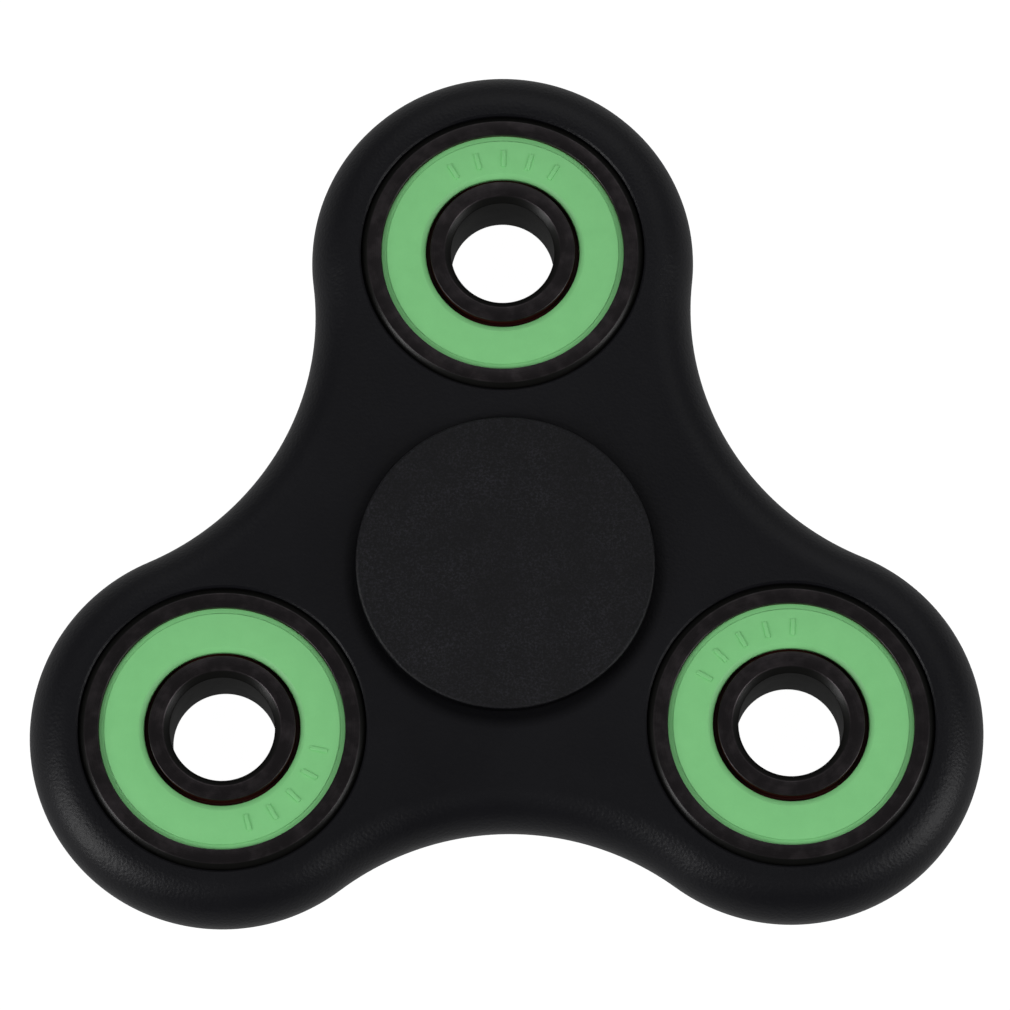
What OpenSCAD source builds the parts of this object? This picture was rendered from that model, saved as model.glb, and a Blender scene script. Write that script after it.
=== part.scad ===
// Three-lobed fidget spinner: a moulded body carries one ball bearing on the spin axis,
// held between two thumb caps, and one open ball bearing in each lobe as a weight.
// Millimetres. The origin is on the spin axis at mid-thickness, +Z is the spin axis,
// the face towards +Z is the front, and the first lobe points along +Y.

/* [Body] */
// Wall between the centre bearing seat and each lobe's bearing seat
seat_wall = 3; // [2:0.25:8]
// Width of the rim around each lobe's bearing seat
rim_wall = 3.85; // [2.5:0.05:6]
// Radius of the concave waists between the lobes
waist_r = 21.3; // [17:0.1:60]
// Rounding of the body's outer edge
edge_round = 3.3; // [1:0.1:3.3]
// Chamfer at the mouths of the bearing seats
mouth_chamfer = 0.15; // [0.05:0.05:0.3]

/* [Bearings] */
// Outside diameter of a bearing
bearing_od = 22; // [20:0.5:28]
// Bore diameter of a bearing
bearing_bore = 8; // [6:0.25:9]
// Width of a bearing
bearing_w = 7; // [6:0.5:9]
// Chamfer on the outer corners and bore mouths of the rings
ring_chamfer = 0.5; // [0.2:0.1:0.8]
// Wall of either ring where the seal meets it
ring_wall = 1.6; // [1.3:0.1:1.8]
// Height of the race shoulders above the bottom of the race
shoulder_h = 0.6; // [0.3:0.1:0.7]
// Diameter of a ball
ball_d = 3.969; // [3.3:0.001:4.5]
// Balls in a bearing
ball_count = 7; // [6:1:7]
// Radial play between a ball and either race
ball_play = 0.02; // [0.01:0.01:0.05]
// Race groove radius as a share of the ball's diameter
groove_ratio = 0.52; // [0.51:0.01:0.54]

/* [Cages] */
// Radial width of a cage
cage_w = 1.8; // [1.2:0.1:2.2]
// Play between a ball and its pocket
pocket_play = 0.06; // [0.03:0.01:0.12]
// Thickness of the web behind the balls
cage_web = 0.36; // [0.25:0.01:0.4]
// Height of the cage's fingers past the balls' middle
cage_finger = 0.9; // [0.6:0.1:1.2]

/* [Seals and shields] */
// Thickness of a seal
seal_t = 0.65; // [0.5:0.05:0.8]
// Depth of a seal's face below the ring faces
seal_recess = 0.25; // [0.1:0.05:0.4]
// Gap between a seal's lip and the inner ring
seal_gap = 0.35; // [0.15:0.05:0.4]
// Width of the bevelled lip along a seal's inner edge
seal_lip = 0.4; // [0.2:0.1:0.6]
// Depth of that bevel
seal_lip_h = 0.2; // [0.1:0.05:0.3]
// Width of the step along a seal's outer edge
seal_step = 0.42; // [0.2:0.05:0.6]
// Depth of that step
seal_step_h = 0.12; // [0.05:0.05:0.2]
// Gap between a seal's lip and the race shoulder below it
lip_clear = 0.15; // [0.1:0.05:0.3]
// Thickness of the steel insert in a seal
insert_t = 0.25; // [0.15:0.05:0.3]
// Rubber left inside and outside the insert
insert_margin = 0.6; // [0.4:0.1:1]
// Thickness of a steel shield on the centre bearing
shield_t = 0.3; // [0.2:0.05:0.5]

/* [Thumb caps] */
// Diameter of a thumb cap
cap_d = 22.9; // [18:0.1:26]
// Thickness of a thumb cap's disc
cap_t = 1; // [1:0.1:3]
// Gap between a thumb cap's disc and the body
cap_gap = 0.2; // [0.2:0.1:1]
// Rounding of a thumb cap's edge
cap_round = 0.2; // [0.1:0.05:0.4]
// Step in from the inner ring's face to the cap's boss
boss_step = 0.2; // [0.1:0.05:0.5]
// Wall of a cap's hollow stem
stem_wall = 1.5; // [1:0.1:2]
// Gap between the two stems inside the bore
stem_gap = 0.3; // [0.1:0.1:1]
// Chamfer on a stem's tip
stem_chamfer = 0.4; // [0.2:0.1:0.6]
// Width of a trimmed gate stub on a cap's edge
gate_w = 1.3; // [0.5:0.1:2]
// How far a gate stub stands out
gate_out = 0.1; // [0.05:0.05:0.2]

/* [Hidden] */
$fn = 96;

lobe_names = ["top", "left", "right"];
lobe_step = 120;
sides = ["front", "back"];
gate_angles = [16, 140];

body_t = bearing_w;
seat_r = bearing_od / 2;
bore_r = bearing_bore / 2;
lobe_reach = bearing_od + seat_wall;
lobe_r = seat_r + rim_wall;
edge_land = 0.4;
edge_r = min(edge_round, (body_t - edge_land) / 2, rim_wall - 2 * mouth_chamfer);

// Distance from the spin axis to a waist's centre, where a waist is tangent to both lobes
tangent_r = lobe_r + waist_r;
waist_reach = (lobe_reach + sqrt(4 * pow(tangent_r, 2) - 3 * pow(lobe_reach, 2))) / 2;
// Half the angle that a waist spans about its centre, and a lobe's outer arc about its own
waist_half = asin(lobe_reach * sin(lobe_step / 2) / tangent_r);
lobe_half = lobe_step / 2 + waist_half;
// Steps round a lobe, round a waist and over half of the rounded edge
lobe_facets = 32;
waist_facets = 12;
edge_facets = 5;
// How far the edge's last step runs on past the face, as a share of the step
edge_over = 0.3;

ball_r = ball_d / 2;
pitch_r = (seat_r + bore_r) / 2;
groove_r = ball_d * groove_ratio;
// Each race's bottom, its shoulder and the middle of its groove's arc
outer_race = pitch_r + ball_r + ball_play;
inner_race = pitch_r - ball_r - ball_play;
outer_shoulder = outer_race - shoulder_h;
inner_shoulder = inner_race + shoulder_h;
outer_groove = outer_race - groove_r;
inner_groove = inner_race + groove_r;
ball_step = 360 / ball_count;

outer_land = seat_r - ring_wall;
inner_land = bore_r + ring_wall;
seal_top = bearing_w / 2 - seal_recess;
seal_seat = seal_top - seal_t;
seal_r = inner_land + seal_gap;
cage_back = ball_r + pocket_play + cage_web;

boss_r = inner_land - boss_step;
cap_face = bearing_w / 2 + cap_gap;
stem_tip = stem_gap / 2;

function lobe_nodes(lobe) = concat(
  [str(lobe, "_outer_ring"), str(lobe, "_inner_ring"), str(lobe, "_cage")],
  [for (side = sides) str(lobe, "_seal_", side)],
  [for (side = sides) str(lobe, "_insert_", side)],
  [for (k = [1 : ball_count]) str(lobe, "_ball_", k)]
);

// Points along an arc, without its last point
function arc(centre, radius, from, to, steps) = [
  for (k = [0 : steps - 1])
    let (angle = from + (to - from) * k / steps)
    centre + radius * [cos(angle), sin(angle)]
];

// The body's outline moved inwards: a lobe, then the waist after it, three times round
function outline(inset) = [
  for (i = [0 : 2])
    let (lobe = 90 + lobe_step * i, waist = lobe + lobe_step / 2)
    each concat(
      arc(
        lobe_reach * [cos(lobe), sin(lobe)], lobe_r - inset,
        lobe - lobe_half, lobe + lobe_half, lobe_facets
      ),
      arc(
        waist_reach * [cos(waist), sin(waist)], waist_r + inset,
        waist + 180 + waist_half, waist + 180 - waist_half, waist_facets
      )
    )
];

// Inset and height of a point on the rounded edge, at an angle up from the horizontal
function edge_point(angle) = [
  edge_r - edge_r * cos(angle),
  body_t / 2 - edge_r + edge_r * sin(angle)
];

// The front half's rings: the last runs on past the face, so that the face trims it
edge_end = edge_point(90) + edge_over * (edge_point(90) - edge_point(90 - 90 / edge_facets));
front_rings = concat(
  [for (k = [0 : edge_facets - 1]) edge_point(90 * k / edge_facets)],
  [edge_end]
);
edge_rings = concat(
  [for (k = [len(front_rings) - 1 : -1 : 0]) [front_rings[k][0], -front_rings[k][1]]],
  front_rings
);

// The body before its seats are bored: an outline at each ring, joined to the next
module blank() {
  around = 3 * (lobe_facets + waist_facets);
  last = len(edge_rings) - 1;
  reach = lobe_reach + lobe_r;
  intersection() {
    polyhedron(
      points = [for (ring = edge_rings) each [for (p = outline(ring[0])) [p[0], p[1], ring[1]]]],
      faces = concat(
        [[for (k = [0 : around - 1]) k]],
        [
          for (j = [0 : last - 1])
            for (k = [0 : around - 1])
              let (next = (k + 1) % around)
              [j * around + k, (j + 1) * around + k, (j + 1) * around + next, j * around + next]
        ],
        [[for (k = [around - 1 : -1 : 0]) last * around + k]]
      )
    );
    cube([3 * reach, 3 * reach, body_t], center = true);
  }
}

// Bearing seat with chamfered mouths
module seat_cut() {
  past = 1;
  flare = seat_r + mouth_chamfer + past;
  side = [[0, past], [flare, past], [seat_r, -mouth_chamfer]];
  rotate_extrude()
    polygon(concat(
      [for (p = side) [p[0], p[1] + body_t / 2]],
      [for (k = [len(side) - 1 : -1 : 0]) [side[k][0], -side[k][1] - body_t / 2]]
    ));
}

module at_lobe(index) {
  rotate(90 + lobe_step * index) translate([lobe_reach, 0, 0]) children();
}

// Puts a front-side shape on the named side
module on_side(side) {
  rotate([side == "back" ? 180 : 0, 0, 0]) children();
}

module body() {
  color([0.09, 0.09, 0.095])
    difference() {
      blank();
      seat_cut();
      for (i = [0 : 2]) at_lobe(i) seat_cut();
    }
}

module outer_ring() {
  half_w = bearing_w / 2;
  side = [
    [seat_r, half_w - ring_chamfer],
    [seat_r - ring_chamfer, half_w],
    [outer_land, half_w],
    [outer_land, seal_seat],
    [outer_shoulder, seal_seat]
  ];
  color([0.2, 0.19, 0.185])
    difference() {
      rotate_extrude() polygon(both_sides(side));
      rotate_extrude() translate([outer_groove, 0]) circle(r = groove_r);
    }
}

module inner_ring() {
  half_w = bearing_w / 2;
  side = [
    [bore_r, half_w - ring_chamfer],
    [bore_r + ring_chamfer, half_w],
    [inner_land, half_w],
    [inner_land, seal_seat - lip_clear],
    [inner_shoulder, seal_seat - lip_clear]
  ];
  color([0.2, 0.19, 0.185])
    difference() {
      rotate_extrude() polygon(both_sides(side));
      rotate_extrude() translate([inner_groove, 0]) circle(r = groove_r);
    }
}

// A section's points for the front half, then the same points mirrored to the back
function both_sides(side) = concat(
  side,
  [for (k = [len(side) - 1 : -1 : 0]) [side[k][0], -side[k][1]]]
);

// Crown cage: a web behind the balls, with fingers that reach past their middle
module cage() {
  color([0.62, 0.6, 0.5])
    difference() {
      rotate_extrude()
        translate([pitch_r - cage_w / 2, -cage_back]) square([cage_w, cage_back + cage_finger]);
      for (k = [1 : ball_count]) at_ball(k) sphere(r = ball_r + pocket_play);
    }
}

module at_ball(k) {
  rotate(ball_step * (k - 1)) translate([pitch_r, 0, 0]) children();
}

module ball(k) {
  color("silver") at_ball(k) sphere(r = ball_r);
}

// Rubber seal seated in the outer ring, with a pocket behind it for its steel insert
module seal(side) {
  color([0.475, 0.745, 0.486])
    on_side(side)
      rotate_extrude()
        polygon([
          [seal_r, seal_seat],
          [seal_r, seal_top - seal_lip_h],
          [seal_r + seal_lip, seal_top],
          [outer_land - seal_step, seal_top],
          [outer_land - seal_step, seal_top - seal_step_h],
          [outer_land, seal_top - seal_step_h],
          [outer_land, seal_seat],
          [outer_land - insert_margin, seal_seat],
          [outer_land - insert_margin, seal_seat + insert_t],
          [seal_r + insert_margin, seal_seat + insert_t],
          [seal_r + insert_margin, seal_seat]
        ]);
}

module insert(side) {
  inner = seal_r + insert_margin;
  outer = outer_land - insert_margin;
  color("gray")
    on_side(side)
      rotate_extrude() translate([inner, seal_seat]) square([outer - inner, insert_t]);
}

// Pressed steel shield with a rolled rim that seats in the outer ring
module shield(side) {
  color("darkgray")
    on_side(side)
      rotate_extrude()
        polygon([
          [seal_r, seal_top - shield_t],
          [seal_r, seal_top],
          [outer_land, seal_top],
          [outer_land, seal_seat],
          [outer_land - shield_t, seal_seat],
          [outer_land - shield_t, seal_top - shield_t]
        ]);
}

// Thumb cap: a disc, a boss that rests on the inner ring, and a hollow stem in its bore
module thumb_cap(side) {
  cap_r = cap_d / 2;
  half_w = bearing_w / 2;
  top = cap_face + cap_t;
  color([0.12, 0.12, 0.125])
    on_side(side) {
      rotate_extrude() {
        polygon([
          [0, top],
          [cap_r - cap_round, top],
          [cap_r - cap_round, top - cap_round],
          [cap_r, top - cap_round],
          [cap_r, cap_face],
          [boss_r, cap_face],
          [boss_r, half_w],
          [bore_r, half_w],
          [bore_r, stem_tip + stem_chamfer],
          [bore_r - stem_chamfer, stem_tip],
          [bore_r - stem_wall, stem_tip],
          [bore_r - stem_wall, half_w],
          [0, half_w]
        ]);
        translate([cap_r - cap_round, top - cap_round])
          intersection() {
            circle(r = cap_round);
            square(cap_round);
          }
      }
      for (angle = gate_angles)
        rotate(angle)
          translate([cap_r - cap_round, -gate_w / 2, cap_face])
            cube([cap_round + gate_out, gate_w, cap_t - cap_round]);
    }
}

body();
for (side = sides)
  thumb_cap(side);

outer_ring();  // centre_outer_ring
inner_ring();  // centre_inner_ring
cage();  // centre_cage
for (side = sides)
  shield(side);
for (k = [1 : ball_count])
  ball(k);

for (i = [0 : 2]) {
  lobe = lobe_names[i];
  at_lobe(i) outer_ring();
  at_lobe(i) inner_ring();
  at_lobe(i) cage();
  for (side = sides) {
    at_lobe(i) seal(side);
    at_lobe(i) insert(side);
  }
  for (k = [1 : ball_count])
    at_lobe(i) ball(k);
}
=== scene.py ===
import math

import bmesh
import bpy
from mathutils import Matrix, Vector


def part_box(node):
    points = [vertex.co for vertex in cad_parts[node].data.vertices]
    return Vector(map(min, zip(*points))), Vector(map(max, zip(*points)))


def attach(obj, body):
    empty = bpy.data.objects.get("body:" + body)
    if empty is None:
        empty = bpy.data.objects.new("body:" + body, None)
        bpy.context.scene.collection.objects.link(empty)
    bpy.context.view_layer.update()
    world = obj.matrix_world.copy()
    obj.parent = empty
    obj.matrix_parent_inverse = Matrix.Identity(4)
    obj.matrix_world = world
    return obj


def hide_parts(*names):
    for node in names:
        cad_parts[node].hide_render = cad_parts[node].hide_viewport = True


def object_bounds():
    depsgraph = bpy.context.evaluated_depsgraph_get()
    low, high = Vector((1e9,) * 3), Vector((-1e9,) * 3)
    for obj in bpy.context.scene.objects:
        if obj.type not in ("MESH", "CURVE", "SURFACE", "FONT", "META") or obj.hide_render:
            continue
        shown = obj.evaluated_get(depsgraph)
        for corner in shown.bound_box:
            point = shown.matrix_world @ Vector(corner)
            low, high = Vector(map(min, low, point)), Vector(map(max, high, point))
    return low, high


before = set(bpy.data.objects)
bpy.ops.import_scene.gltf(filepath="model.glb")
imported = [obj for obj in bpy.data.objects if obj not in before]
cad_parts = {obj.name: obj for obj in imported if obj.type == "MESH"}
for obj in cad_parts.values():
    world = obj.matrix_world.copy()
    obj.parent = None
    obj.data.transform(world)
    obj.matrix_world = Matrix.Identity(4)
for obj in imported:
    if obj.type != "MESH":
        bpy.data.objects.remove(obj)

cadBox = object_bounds()
mm = 0.001
lobes = ("top", "left", "right")
hub = "centre"
faces = {"front": 1, "back": -1}
up = Vector((0, 0, 1))


def middle(node):
    low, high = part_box(node)
    return (low + high) / 2


def halfHeight(node):
    low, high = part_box(node)
    return (high.z - low.z) / 2


def markSharp(bm, limit):
    for face in bm.faces:
        face.smooth = True
    for edge in bm.edges:
        joined = len(edge.link_faces) == 2
        edge.smooth = joined and edge.calc_face_angle() < math.radians(limit)


def addPiece(bm, name, body, material, replaced=(), limit=30):
    bmesh.ops.remove_doubles(bm, verts=bm.verts, dist=0.0005 * mm)
    bmesh.ops.recalc_face_normals(bm, faces=bm.faces)
    markSharp(bm, limit)
    mesh = bpy.data.meshes.new(name)
    bm.to_mesh(mesh)
    bm.free()
    piece = bpy.data.objects.new(name, mesh)
    bpy.context.scene.collection.objects.link(piece)
    mesh.materials.append(material)
    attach(piece, body)
    if replaced:
        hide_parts(*replaced)
    return piece


def lathe(bm, section, centre, steps):
    # section is a closed loop of (radius, height) turned once round the axis through centre
    verts = [bm.verts.new(centre + Vector((r, 0, z))) for r, z in section]
    edges = [bm.edges.new(pair) for pair in zip(verts, verts[1:] + verts[:1])]
    bmesh.ops.spin(bm, geom=verts + edges, cent=centre, axis=up, angle=math.tau,
                   steps=steps, use_merge=True)


def softenCorners(bm, width, segments, least=20):
    corners = [e for e in bm.edges if len(e.link_faces) == 2
               and e.calc_face_angle() > math.radians(least)]
    bmesh.ops.bevel(bm, geom=corners, offset=width, offset_type="OFFSET", segments=segments,
                    profile=0.5, affect="EDGES", material=-1, clamp_overlap=True)


class Value:
    # a socket that can be added, subtracted and multiplied in plain Python

    def __init__(self, finish, socket):
        self.finish = finish
        self.socket = socket

    def maths(self, operation, *others):
        return self.finish.node("Math", {"operation": operation}, [self, *others])

    def __add__(self, other):
        return self.maths("ADD", other)

    __radd__ = __add__

    def __mul__(self, other):
        return self.maths("MULTIPLY", other)

    __rmul__ = __mul__

    def __sub__(self, other):
        return self.maths("SUBTRACT", other)

    def __rsub__(self, other):
        return self.finish.node("Math", {"operation": "SUBTRACT"}, [other, self])

    def clamp(self):
        return self.finish.node("Clamp", {}, [self, 0.0, 1.0])

    def above(self, level, softness):
        # 0 below the level and 1 above it, with a soft step between
        return ((self - level) * (1 / softness) + 0.5).clamp()


class Finish:
    # one material, built node by node

    def __init__(self, name):
        self.material = bpy.data.materials.new(name)
        self.material.use_nodes = True
        self.tree = self.material.node_tree
        self.shader = self.tree.nodes["Principled BSDF"]
        self.place = self.node("TexCoord", {}, [], "Object")

    def feed(self, socket, value):
        if isinstance(value, Value):
            self.tree.links.new(value.socket, socket)
        else:
            socket.default_value = value

    def node(self, kind, settings, values, output=0):
        made = self.tree.nodes.new("ShaderNode" + kind)
        for key, setting in settings.items():
            setattr(made, key, setting)
        pairs = values.items() if isinstance(values, dict) else enumerate(values)
        for key, value in pairs:
            self.feed(made.inputs[key], value)
        return Value(self, made.outputs[output])

    def noise(self, size, detail, rough):
        # size is the width of one blotch in millimetres
        return self.node("TexNoise", {"noise_dimensions": "3D"},
                         {"Vector": self.place, "Scale": 1 / (size * mm), "Detail": detail,
                          "Roughness": rough}, "Fac")

    def cells(self, size, smoothness):
        # size is the width of one cell in millimetres
        return self.node("TexVoronoi", {"feature": "SMOOTH_F1"},
                         {"Vector": self.place, "Scale": 1 / (size * mm),
                          "Smoothness": smoothness}, "Distance")

    def blend(self, amount, first, second):
        # a Mix node keeps a socket set for each data type, and colours are inputs 6 and 7
        return self.node("Mix", {"data_type": "RGBA"}, {0: amount, 6: first, 7: second}, 2)

    def bump(self, height, depth):
        return self.node("Bump", {}, {"Strength": 1.0, "Distance": depth * mm,
                                      "Height": height})

    def reach(self, centre):
        # how far a point is from the upright axis through centre, in metres
        local = self.node("VectorMath", {"operation": "SUBTRACT"}, [self.place, tuple(centre)], 0)
        level = self.node("VectorMath", {"operation": "MULTIPLY"}, [local, (1, 1, 0)], 0)
        return self.node("VectorMath", {"operation": "LENGTH"}, [level], "Value")

    def deaden(self, amount):
        # lets a dead black through, where an overhang keeps the light off
        black = self.node("BsdfDiffuse", {}, {"Color": grey(0.0003)})
        mixed = self.node("MixShader", {}, {0: amount, 1: Value(self, self.shader.outputs[0]),
                                            2: black})
        self.feed(self.tree.nodes["Material Output"].inputs["Surface"], mixed)

    def done(self, **sockets):
        for name, value in sockets.items():
            self.feed(self.shader.inputs[name.replace("_", " ")], value)
        return self.material


def grey(level, blue=1.0):
    return (level, level, level * blue, 1)


bodyFinish = {
    "shade": 0.0056, "blue": 1.30, "mottle": 0.30, "mottleSize": 9.0, "specular": 0.22,
    "rough": 0.43, "roughSwing": 0.10, "grainSize": 0.26, "grainSoft": 0.6, "fineSize": 0.14,
    "depth": 0.032,
    "capShade": 0.48, "capReach": 12.05, "capSoft": 0.8, "capDrop": -0.35,
}


def mouldedBlack(name, s):
    f = Finish(name)
    cells = f.cells(s["grainSize"], s["grainSoft"])
    fine = f.noise(s["fineSize"], 3.0, 0.6)
    broad = f.noise(s["mottleSize"], 3.0, 0.55)
    grain = cells * 0.55 + fine * 0.45
    dark = grey(s["shade"] * (1 - s["mottle"]), s["blue"])
    light = grey(s["shade"] * (1 + s["mottle"]), s["blue"])
    # a painted shade round the thumb cap, wider on the near side; it turns with the body
    away = f.reach((0, s["capDrop"] * mm, 0))
    f.deaden((1 - away.above(s["capReach"] * mm, s["capSoft"] * mm)) * s["capShade"])
    return f.done(Base_Color=f.blend((broad * 0.7 + fine * 0.3).clamp(), dark, light),
                  Roughness=broad * s["roughSwing"] + fine * s["roughSwing"]
                  + (s["rough"] - s["roughSwing"]),
                  Specular_IOR_Level=s["specular"], Normal=f.bump(grain, s["depth"]))


capFinish = {
    "shade": 0.0042, "blue": 1.25, "sparkle": 0.029, "mottleSize": 4.0, "specular": 0.24,
    "rough": 0.46, "roughSwing": 0.14, "sparkSize": 0.17, "sparkFrom": 0.60, "sparkSoft": 0.26,
    "depth": 0.075, "wallFrom": 11.42, "wallSoft": 0.04, "wallShade": 0.60,
}


def sparkErodedBlack(name, s):
    f = Finish(name)
    sparks = f.noise(s["sparkSize"], 3.0, 0.75)
    broad = f.noise(s["mottleSize"], 3.0, 0.6)
    points = sparks.above(s["sparkFrom"], s["sparkSoft"]) * broad.above(0.45, 0.6)
    # painted shade: the wall is painted darker than the disc, for the shade it stands in
    wall = f.reach((0, 0, 0)).above(s["wallFrom"] * mm, s["wallSoft"] * mm)
    f.deaden(wall * s["wallShade"])
    return f.done(Base_Color=f.blend(points, grey(s["shade"], s["blue"]),
                                     grey(s["sparkle"], s["blue"])),
                  Roughness=broad * s["roughSwing"] + sparks * s["roughSwing"]
                  + (s["rough"] - s["roughSwing"]),
                  Specular_IOR_Level=s["specular"],
                  Normal=f.bump(sparks * 0.7 + broad * 0.3, s["depth"]))


ringFinish = {
    "shade": (0.033, 0.029, 0.031, 1), "worn": (0.084, 0.072, 0.077, 1),
    "chamferShade": (0.006, 0.006, 0.0055, 1), "recessRed": (0.034, 0.006, 0.0045, 1),
    "metal": 0.8, "specular": 0.25, "rough": 0.36, "roughSwing": 0.12, "lineSize": 0.05,
    "blotch": 1.7, "depth": 0.002, "wornFrom": 0.52, "wornSteep": 3,
    "recessRedFrom": 5.55, "recessRedBelow": 0.2, "recessRedSoft": 0.05,
    "chamferIn": 4.45, "chamferOut": 10.5, "chamferSoft": 0.06,
}


def blackenedSteel(name, s, centre):
    f = Finish(name)
    # ground lines run round the ring, so they are a noise of the distance from its axis
    reach = f.reach(centre)
    height = f.node("SeparateXYZ", {}, [f.place], "Z")
    along = f.node("CombineXYZ", {}, [reach, height, 0.0])
    lines = f.node("TexNoise", {}, {"Vector": along, "Scale": 1 / (s["lineSize"] * mm),
                                    "Detail": 2.0, "Roughness": 0.6}, "Fac")
    blotch = f.noise(s["blotch"], 4.0, 0.6)
    worn = ((blotch * 0.75 + lines * 0.35 - s["wornFrom"]) * s["wornSteep"]).clamp()
    # the chamfers and the bore wall are a near black, and the recessed step beside the seal's lip
    # a dark red; neither is metallic
    depth = f.node("Math", {"operation": "ABSOLUTE"}, [height])
    soft = s["chamferSoft"] * mm
    chamfers = (reach.above(s["chamferOut"] * mm, soft)
                + (1 - reach.above(s["chamferIn"] * mm, soft))).clamp()
    recessRedMask = (reach.above(s["recessRedFrom"] * mm, s["recessRedSoft"] * mm) * (1 - chamfers)
            * (1 - depth.above(halfHeight(hub + "_outer_ring") - s["recessRedBelow"] * mm, 0.1 * mm)))
    shade = f.blend(recessRedMask, f.blend(chamfers, f.blend(worn, s["shade"], s["worn"]),
                                  s["chamferShade"]), s["recessRed"])
    return f.done(Base_Color=shade, Metallic=s["metal"] * (1 - chamfers) * (1 - recessRedMask),
                  Roughness=lines * s["roughSwing"] + blotch * s["roughSwing"]
                  + (s["rough"] - s["roughSwing"]),
                  Specular_IOR_Level=s["specular"], Normal=f.bump(lines, s["depth"]))


sealFinish = {
    "shade": (0.232, 0.668, 0.246, 1), "pale": (0.288, 0.772, 0.302, 1),
    "rough": 0.50, "roughSwing": 0.10, "blotch": 1.6, "fineSize": 0.10, "depth": 0.004,
}


def greenRubber(name, s):
    f = Finish(name)
    blotch = f.noise(s["blotch"], 4.0, 0.55)
    fine = f.noise(s["fineSize"], 2.0, 0.5)
    return f.done(Base_Color=f.blend((blotch * 0.8 + fine * 0.2).clamp(), s["shade"], s["pale"]),
                  Roughness=blotch * s["roughSwing"] + fine * s["roughSwing"]
                  + (s["rough"] - s["roughSwing"]),
                  Normal=f.bump(fine * 0.5 + blotch * 0.5, s["depth"]))


metalFinishes = {
    "insert": {"shade": (0.42, 0.42, 0.43, 1), "pale": (0.55, 0.55, 0.56, 1), "rough": 0.34},
    "shield": {"shade": (0.40, 0.40, 0.41, 1), "pale": (0.56, 0.56, 0.57, 1), "rough": 0.30},
    "cage": {"shade": (0.40, 0.37, 0.30, 1), "pale": (0.54, 0.51, 0.44, 1), "rough": 0.38},
    "ball": {"shade": (0.60, 0.60, 0.62, 1), "pale": (0.72, 0.72, 0.74, 1), "rough": 0.08},
}


def brightSteel(name, s):
    f = Finish(name)
    blotch = f.noise(0.8, 4.0, 0.6)
    return f.done(Base_Color=f.blend(blotch, s["shade"], s["pale"]), Metallic=1.0,
                  Roughness=blotch * 0.1 + s["rough"], Normal=f.bump(blotch, 0.001))


bodyBlack = mouldedBlack("bodyBlack", bodyFinish)
capBlack = sparkErodedBlack("capBlack", capFinish)
sealGreen = greenRubber("sealGreen", sealFinish)
ringBlack = {name: blackenedSteel(name + "RingBlack", ringFinish, middle(name + "_outer_ring"))
             for name in (hub, *lobes)}
brightMetals = {name: brightSteel(name + "Steel", s) for name, s in metalFinishes.items()}
print("finishes made")

bodyShape = {
    "edge": 3.3, "waist": 21.3, "mouth": 0.15, "lobeSteps": 112, "waistSteps": 44,
    "bevelSteps": 16, "seatSteps": 160, "hold": 0.12,
}


def outlineLoop(bm, reach, lobeR, waistR, height, s):
    # one point walks round: out along a lobe, back along the waist after it, three times
    tangent = lobeR + waistR
    waistReach = (reach + math.sqrt(4 * tangent ** 2 - 3 * reach ** 2)) / 2
    waistHalf = math.asin(reach * math.sin(math.radians(60)) / tangent)
    lobeHalf = math.radians(60) + waistHalf
    start = Vector((0, reach, height)) + lobeR * Vector((
        math.cos(math.radians(90) - lobeHalf), math.sin(math.radians(90) - lobeHalf), 0))
    tip = bm.verts.new(start)
    for third in range(3):
        lobeAngle = math.radians(90 + 120 * third)
        waistAngle = lobeAngle + math.radians(60)
        for distance, angle, turn, steps in (
                (reach, lobeAngle, 2 * lobeHalf, s["lobeSteps"]),
                (waistReach, waistAngle, -2 * waistHalf, s["waistSteps"])):
            pivot = Vector((distance * math.cos(angle), distance * math.sin(angle), height))
            spun = bmesh.ops.spin(bm, geom=[tip], cent=pivot, axis=up, angle=turn, steps=steps)
            tip = next(g for g in spun["geom_last"] if isinstance(g, bmesh.types.BMVert))
    bmesh.ops.remove_doubles(bm, verts=bm.verts, dist=0.01 * mm)


ringShape = {
    "outside": 22.0, "bore": 8.0, "ball": 3.969, "play": 0.02, "wall": 1.6, "shoulder": 0.6,
    "chamfer": 0.5, "recess": 0.25, "sealThick": 0.65, "lipClear": 0.15, "groove": 2.064,
    "grooveSteps": 16, "soften": 0.06, "steps": 160,
}


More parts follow.
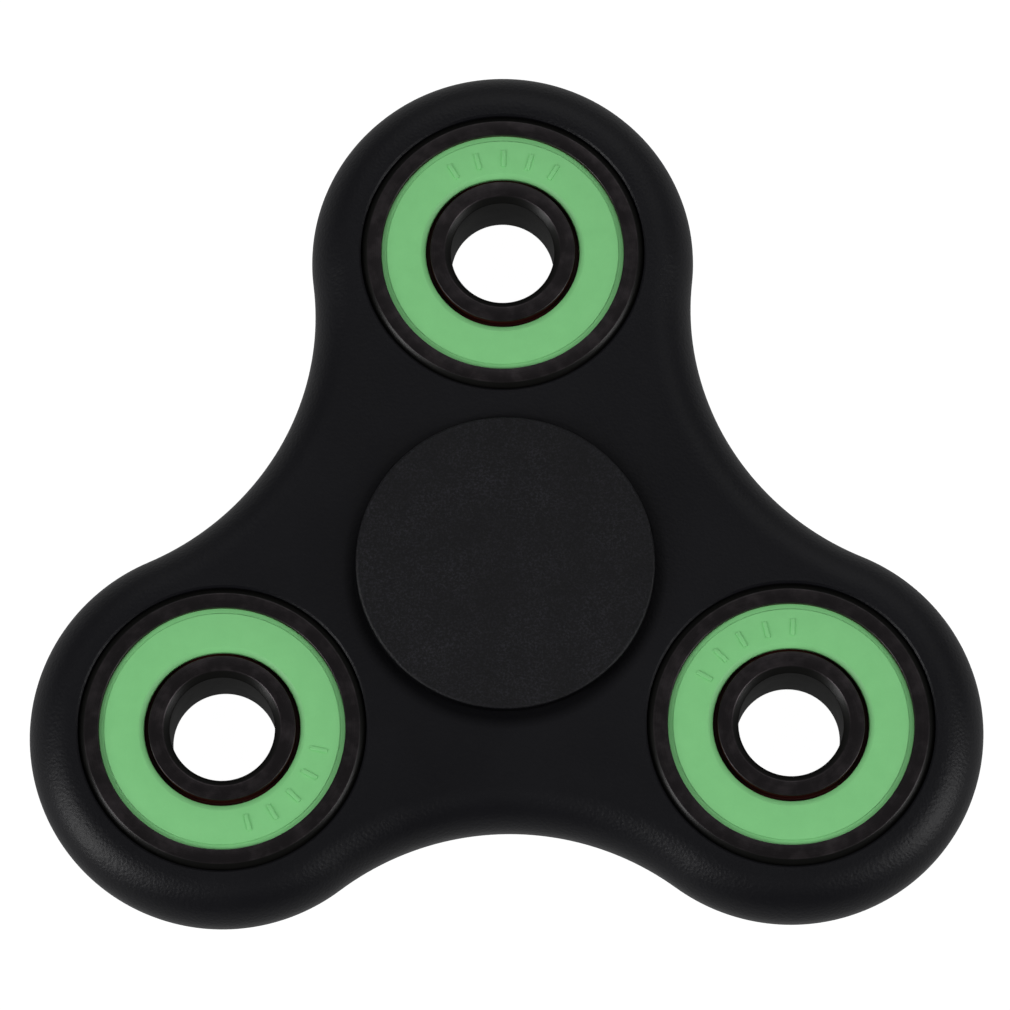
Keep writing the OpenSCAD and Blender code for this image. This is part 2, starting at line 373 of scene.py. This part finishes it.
def makeBody(s):
    low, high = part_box("body")
    half = halfHeight("body")
    reach = middle("top_outer_ring").y
    seatR = ringShape["outside"] / 2 * mm
    lobeR = high.y - reach
    waistR = s["waist"] * mm
    bm = bmesh.new()
    outlineLoop(bm, reach, lobeR, waistR, -half, s)
    bmesh.ops.contextual_create(bm, geom=bm.edges[:])
    raised = bmesh.ops.extrude_face_region(bm, geom=bm.faces[:])
    bmesh.ops.translate(bm, vec=up * 2 * half,
                        verts=[g for g in raised["geom"] if isinstance(g, bmesh.types.BMVert)])
    bmesh.ops.recalc_face_normals(bm, faces=bm.faces)
    rims = [e for e in bm.edges if abs(e.verts[0].co.z - e.verts[1].co.z) < 0.01 * mm]
    bmesh.ops.bevel(bm, geom=rims, offset=s["edge"] * mm, offset_type="OFFSET",
                    segments=s["bevelSteps"], profile=0.5, affect="EDGES", material=-1,
                    clamp_overlap=False)
    flats = [f for f in bm.faces if abs(f.normal.z) > 0.99 and len(f.verts) > 100]
    bmesh.ops.inset_region(bm, faces=flats, thickness=s["hold"] * mm, use_even_offset=True)
    flats = [f for f in bm.faces if abs(f.normal.z) > 0.99 and len(f.verts) > 100]
    bmesh.ops.delete(bm, geom=flats, context="FACES_ONLY")
    for name in (hub, *lobes):
        centre = middle(name + "_outer_ring")
        section = [(seatR + s["mouth"] * mm, half), (seatR, half - s["mouth"] * mm),
                   (seatR, -half + s["mouth"] * mm), (seatR + s["mouth"] * mm, -half)]
        verts = [bm.verts.new(centre + Vector((r, 0, z))) for r, z in section]
        edges = [bm.edges.new(pair) for pair in zip(verts, verts[1:])]
        bmesh.ops.spin(bm, geom=verts + edges, cent=centre, axis=up, angle=math.tau,
                       steps=s["seatSteps"], use_merge=True)
    bmesh.ops.remove_doubles(bm, verts=bm.verts, dist=0.0005 * mm)
    for side in faces.values():
        rim = [e for e in bm.edges if len(e.link_faces) == 1
               and e.verts[0].co.z * side > half - 0.01 * mm]
        bmesh.ops.triangle_fill(bm, edges=rim, use_beauty=True, use_dissolve=False,
                                normal=up * side)
    addPiece(bm, "mouldedBody", "frame", bodyBlack, ["body"])


makeBody(bodyShape)
print("body made")


def raceArc(reach, opening, shoulderR, s):
    # points down the race, from its front shoulder to its back one
    grooveR = s["groove"] * mm
    centreR = reach - opening * grooveR
    spread = math.acos(abs(shoulderR - centreR) / grooveR)
    return [(centreR + opening * grooveR * math.cos(a), grooveR * math.sin(a)) for a in
            (spread - 2 * spread * k / s["grooveSteps"] for k in range(s["grooveSteps"] + 1))]


def bothFaces(section):
    return section + [(r, -z) for r, z in reversed(section)]


def makeRings(name, outerBody, innerBody, s):
    outer, inner = name + "_outer_ring", name + "_inner_ring"
    centre = middle(outer)
    half = halfHeight(outer)
    seatR, boreR = s["outside"] / 2 * mm, s["bore"] / 2 * mm
    pitch = (seatR + boreR) / 2
    race = (s["ball"] / 2 + s["play"]) * mm
    seat = half - (s["recess"] + s["sealThick"]) * mm
    # side is 1 for the outer ring and -1 for the inner one
    for side, node, body, wall, under in (
            (1, outer, outerBody, seatR, seat),
            (-1, inner, innerBody, boreR, seat - s["lipClear"] * mm)):
        land = wall - side * s["wall"] * mm
        shoulder = pitch + side * (race - s["shoulder"] * mm)
        section = bothFaces([
            (shoulder, under), (land, under), (land, half),
            (wall - side * s["chamfer"] * mm, half), (wall, half - s["chamfer"] * mm)])
        section += list(reversed(raceArc(pitch + side * race, side, shoulder, s)))
        bm = bmesh.new()
        lathe(bm, section, centre, s["steps"])
        softenCorners(bm, s["soften"] * mm, 3)
        kind = "OuterRace" if side == 1 else "InnerRace"
        addPiece(bm, name + kind, body, ringBlack[name], [node])


makeRings(hub, "frame", "grip", ringShape)
for name in lobes:
    makeRings(name, "frame", name + "_inner", ringShape)
print("rings made")

sealShape = {
    "lip": 0.4, "lipDrop": 0.2, "step": 0.42, "stepDrop": 0.12, "thick": 0.65, "margin": 0.6,
    "insert": 0.25, "gap": 0.35, "steps": 160, "soften": 0.07,
    "tickCount": 5, "tickSpread": 62.0, "tickLong": 1.3, "tickWide": 0.32, "tickHigh": 0.10,
    "tickRadius": 7.55, "tickSoft": 0.05,
}
tickTurns = {"top": 89.0, "left": -44.0, "right": 119.0}


def addTicks(bm, centre, height, side, turn, s):
    # short raised bars in an arc
    for k in range(s["tickCount"]):
        angle = math.radians(turn + s["tickSpread"] * (k / (s["tickCount"] - 1) - 0.5))
        out = Vector((math.cos(angle), math.sin(angle), 0))
        size = Matrix.Diagonal((s["tickLong"] * mm, s["tickWide"] * mm, 2 * s["tickHigh"] * mm, 1))
        place = Matrix.Translation(centre + out * s["tickRadius"] * mm + up * side * height)
        turned = place @ Matrix.Rotation(angle, 4, "Z") @ size
        bar = bmesh.ops.create_cube(bm, size=1, matrix=turned)
        corners = list(dict.fromkeys(e for v in bar["verts"] for e in v.link_edges))
        bmesh.ops.bevel(bm, geom=corners, offset=s["tickSoft"] * mm, offset_type="OFFSET",
                        segments=2, profile=0.5, affect="EDGES", material=-1,
                        clamp_overlap=True)


def makeSeal(name, face, s):
    node = name + "_seal_" + face
    side = faces[face]
    centre = middle(name + "_outer_ring")
    low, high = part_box(node)
    top = max(abs(low.z), abs(high.z))
    base = top - s["thick"] * mm
    outer = (ringShape["outside"] / 2 - ringShape["wall"]) * mm
    inner = (ringShape["bore"] / 2 + ringShape["wall"] + s["gap"]) * mm
    section = [
        (inner, base), (inner, top - s["lipDrop"] * mm), (inner + s["lip"] * mm, top),
        (outer - s["step"] * mm, top), (outer - s["step"] * mm, top - s["stepDrop"] * mm),
        (outer, top - s["stepDrop"] * mm), (outer, base),
        (outer - s["margin"] * mm, base), (outer - s["margin"] * mm, base + s["insert"] * mm),
        (inner + s["margin"] * mm, base + s["insert"] * mm), (inner + s["margin"] * mm, base)]
    bm = bmesh.new()
    lathe(bm, [(r, z * side) for r, z in section], centre, s["steps"])
    softenCorners(bm, s["soften"] * mm, 3, 15)
    if face == "front":
        addTicks(bm, centre, top, side, tickTurns[name], s)
    addPiece(bm, name + "Seal" + face.capitalize(), "frame", sealGreen, [node])


for name in lobes:
    for face in faces:
        makeSeal(name, face, sealShape)
print("seals made")

# pieces that keep their CAD shape
for node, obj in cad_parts.items():
    if "thumb_cap" in node:
        material = capBlack
    else:
        material = next((m for kind, m in brightMetals.items() if kind in node), None)
    if material:
        for k in range(len(obj.data.materials)):
            obj.data.materials[k] = material

studio = {
    "floorGlow": 1.0, "floorShade": 0.10, "floorDim": 0.34, "floorSize": 6.0, "floorDrop": 0.02,
    "shadeReach": 13.0, "shadeSoft": 3.0, "shadeLeast": 0.26,
    "wallGlow": 0.95, "horizon": 0.42, "overhead": 0.05,
    # the height, as the sine of the elevation, over which the pale wall fades out
    "wallFrom": 0.02, "wallTo": 0.30, "nearWall": 0.25,
    "lights": (
        # name, azimuth, elevation, distance, width, height, strength
        ("leftSoftbox", 206, 32, 0.7, 0.22, 0.55, 3.05),
        ("rightSoftbox", 340, 35, 0.7, 0.26, 0.55, 2.3),
        ("farSoftbox", 80, 44, 0.8, 0.80, 0.55, 1.2),
    ),
}
cameraSetup = {
    "aim": (0.016, 4.823, 3.25), "azimuth": 0.564, "elevation": 76.216, "distance": 493.26,
    "roll": 0.09, "pixelFocal": 6428.9, "imageSide": 1010, "sensor": 36.0,
}


def makeFloor(s):
    low, high = cadBox
    bm = bmesh.new()
    bmesh.ops.create_grid(bm, x_segments=1, y_segments=1, size=s["floorSize"] / 2,
                          matrix=Matrix.Translation(up * (low.z - s["floorDrop"] * mm)))
    mesh = bpy.data.meshes.new("floor")
    bm.to_mesh(mesh)
    bm.free()
    floor = bpy.data.objects.new("floor", mesh)
    bpy.context.scene.collection.objects.link(floor)
    # the floor looks white but lights the object only a little, and under the lobes hardly at all:
    # a painted shadow in its glow
    f = Finish("paleFloor")
    seen = f.node("LightPath", {}, [])
    clear = 1
    for name in lobes:
        centre = tuple(middle(name + "_outer_ring"))
        away = f.node("VectorMath", {"operation": "DISTANCE"}, [f.place, centre], "Value")
        clear = clear * away.above(s["shadeReach"] * mm, s["shadeSoft"] * mm)
    lit = clear * (1 - s["shadeLeast"]) + s["shadeLeast"]
    glow = lit * s["floorDim"] * (1 - seen) + seen * s["floorGlow"]
    mesh.materials.append(f.done(Base_Color=grey(s["floorShade"]), Roughness=0.9,
                                 Emission_Color=f.blend(glow.clamp(), grey(0.0), grey(1.0)),
                                 Emission_Strength=1.0))


def makeLights(s):
    for name, azimuth, elevation, distance, width, height, strength in s["lights"]:
        a, e = math.radians(azimuth), math.radians(elevation)
        away = Vector((math.cos(a) * math.cos(e), math.sin(a) * math.cos(e), math.sin(e)))
        lamp = bpy.data.lights.new(name, "AREA")
        lamp.shape = "RECTANGLE"
        lamp.size, lamp.size_y = width, height
        lamp.energy = strength
        obj = bpy.data.objects.new(name, lamp)
        obj.location = away * distance
        obj.rotation_mode = "QUATERNION"
        obj.rotation_quaternion = away.to_track_quat("Z", "Y")
        bpy.context.scene.collection.objects.link(obj)


def makeAir(s):
    # a pale wall all round the horizon that fades to a dim ceiling, and is dimmer as a light
    world = bpy.data.worlds.new("studioAir")
    bpy.context.scene.world = world
    world.use_nodes = True
    tree = world.node_tree
    place = tree.nodes.new("ShaderNodeTexCoord")
    apart = tree.nodes.new("ShaderNodeSeparateXYZ")
    fade = tree.nodes.new("ShaderNodeMapRange")
    seen = tree.nodes.new("ShaderNodeLightPath")
    either = tree.nodes.new("ShaderNodeMix")
    turn = tree.nodes.new("ShaderNodeMapRange")  # the wall on the viewer's side is darker
    turned = tree.nodes.new("ShaderNodeMath")
    turned.operation = "MULTIPLY"
    fade.interpolation_type = "SMOOTHSTEP"
    for name, value in (("From Min", -0.8), ("From Max", 0.1), ("To Min", s["nearWall"])):
        turn.inputs[name].default_value = value
    for name, value in (("From Min", s["wallFrom"]), ("From Max", s["wallTo"]),
                        ("To Min", s["horizon"]), ("To Max", s["overhead"])):
        fade.inputs[name].default_value = value
    either.inputs["B"].default_value = s["wallGlow"]
    background = tree.nodes["Background"]
    background.inputs["Strength"].default_value = 1.0
    tree.links.new(place.outputs["Generated"], apart.inputs[0])
    tree.links.new(apart.outputs["Z"], fade.inputs["Value"])
    tree.links.new(apart.outputs["Y"], turn.inputs["Value"])
    tree.links.new(fade.outputs["Result"], turned.inputs[0])
    tree.links.new(turn.outputs["Result"], turned.inputs[1])
    tree.links.new(turned.outputs["Value"], either.inputs["A"])
    tree.links.new(seen.outputs["Is Camera Ray"], either.inputs["Factor"])
    tree.links.new(either.outputs["Result"], background.inputs["Color"])


def makeCamera(s):
    a, e = math.radians(s["azimuth"]), math.radians(s["elevation"])
    forward = Vector((math.sin(a) * math.cos(e), math.cos(a) * math.cos(e), -math.sin(e)))
    data = bpy.data.cameras.new("camera")
    data.sensor_width = s["sensor"]
    data.lens = s["pixelFocal"] * s["sensor"] / s["imageSide"]
    data.clip_start, data.clip_end = 0.01, 10
    camera = bpy.data.objects.new("camera", data)
    camera.location = Vector(s["aim"]) * mm - forward * s["distance"] * mm
    camera.rotation_mode = "QUATERNION"
    roll = Matrix.Rotation(math.radians(s["roll"]), 3, "Z")
    turn = forward.to_track_quat("-Z", "Y").to_matrix() @ roll
    camera.rotation_quaternion = turn.to_quaternion()
    bpy.context.scene.collection.objects.link(camera)
    bpy.context.scene.camera = camera


makeFloor(studio)
makeLights(studio)
makeAir(studio)
makeCamera(cameraSetup)
bpy.context.scene.view_settings.view_transform = "Standard"
print("studio made")
